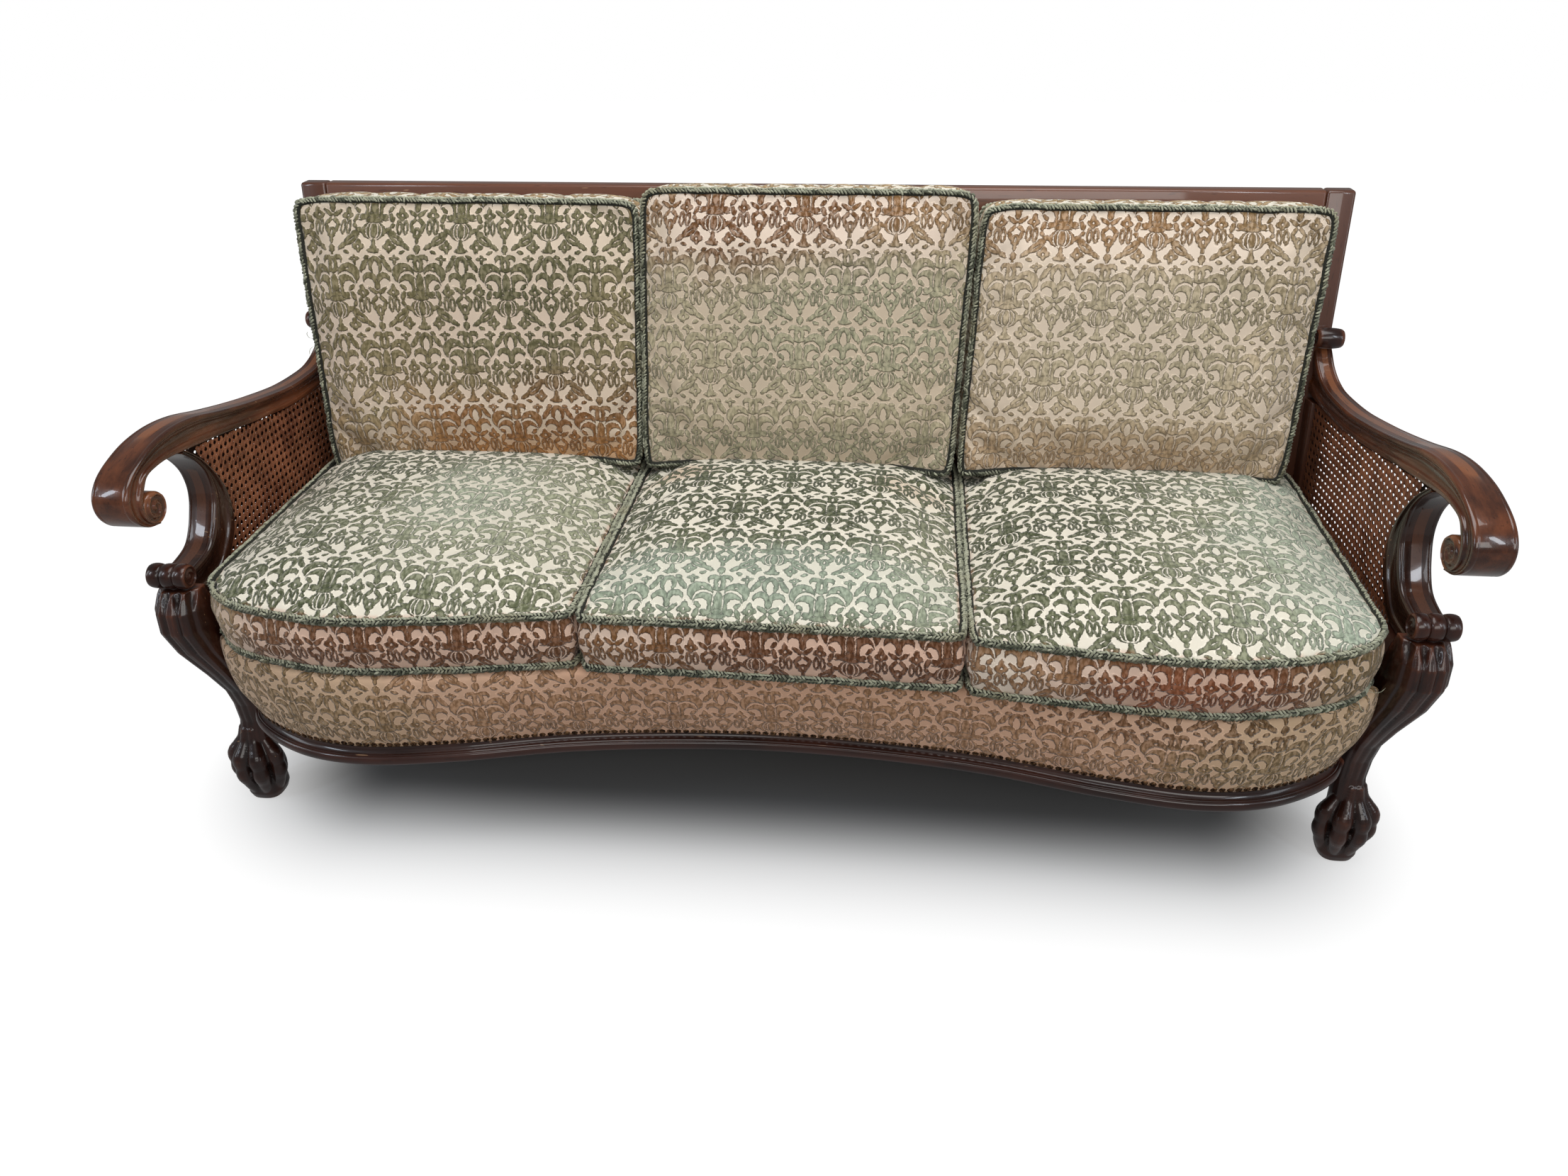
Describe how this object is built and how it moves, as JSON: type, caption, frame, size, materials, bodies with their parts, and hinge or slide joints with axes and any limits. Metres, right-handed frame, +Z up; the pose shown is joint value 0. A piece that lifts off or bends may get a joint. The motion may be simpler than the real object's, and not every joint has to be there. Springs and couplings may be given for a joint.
{
  "type": "three-seat scroll-arm sofa",
  "caption": "Worn show-wood sofa with cane side panels, carved scroll arms and cabriole legs, serpentine front, and loose cut-velvet cushions trimmed with ruche.",
  "frame": {"origin": "on the floor, at the middle of the overall width and depth", "axes": "+X along the sofa's width to the right of somebody facing its front, +Y towards its back, +Z up"},
  "size_m": [1.844, 0.7501, 0.9015],
  "materials": {
    "polished_wood": "glossy dark reddish polish, rubbed and scratched at the edges",
    "plain_wood": "unpolished framing timber",
    "cane": "stained woven cane with a dull sheen",
    "cut_velvet": "faded cut velvet, sage and olive pile on a cream ground, stained brown in places",
    "ruche_trim": "worn looped grey-green ruche trim",
    "nail_heads": "darkened domed upholstery nails",
    "hessian": "coarse jute cloth and webbing",
    "dust_cloth": "thin dark cotton",
    "spring_steel": "dull coppered steel wire"
  },
  "bodies": {
    "root": {"crest_rail": "polished_wood", "back_lower_rail": "polished_wood", "back_stile_left": "polished_wood", "back_stile_right": "polished_wood", "back_cane_left": "cane", "back_cane_centre": "cane", "back_cane_right": "cane", "back_post_left": "polished_wood", "back_post_right": "polished_wood", "arm_left": "polished_wood", "arm_right": "polished_wood", "arm_roll_left": "polished_wood", "arm_roll_right": "polished_wood", "arm_stump_left": "polished_wood", "arm_stump_right": "polished_wood", "arm_stile_left": "polished_wood", "arm_stile_right": "polished_wood", "arm_lower_rail_left": "polished_wood", "arm_lower_rail_right": "polished_wood", "arm_cane_inner_left": "cane", "arm_cane_inner_right": "cane", "arm_cane_outer_left": "cane", "arm_cane_outer_right": "cane", "knee_roll_left": "polished_wood", "knee_roll_right": "polished_wood", "front_leg_left": "polished_wood", "front_leg_right": "polished_wood", "side_rail_left": "polished_wood", "side_rail_right": "polished_wood", "front_rail": "polished_wood", "rear_seat_rail": "plain_wood", "front_corner_block_left": "plain_wood", "front_corner_block_right": "plain_wood", "rear_corner_block_left": "plain_wood", "rear_corner_block_right": "plain_wood", "front_border": "cut_velvet", "seat_deck": "hessian", "seat_webbing": "hessian", "bottom_cloth": "dust_cloth", "seat_spring_1_1": "spring_steel", "seat_spring_1_2": "spring_steel", "seat_spring_1_3": "spring_steel", "seat_spring_1_4": "spring_steel", "seat_spring_1_5": "spring_steel", "seat_spring_1_6": "spring_steel", "seat_spring_2_1": "spring_steel", "seat_spring_2_2": "spring_steel", "seat_spring_2_3": "spring_steel", "seat_spring_2_4": "spring_steel", "seat_spring_2_5": "spring_steel", "seat_spring_2_6": "spring_steel", "seat_cushion_left": "cut_velvet", "seat_cushion_centre": "cut_velvet", "seat_cushion_right": "cut_velvet", "back_cushion_left": "cut_velvet", "back_cushion_centre": "cut_velvet", "back_cushion_right": "cut_velvet"}
  },
  "joints": []
}
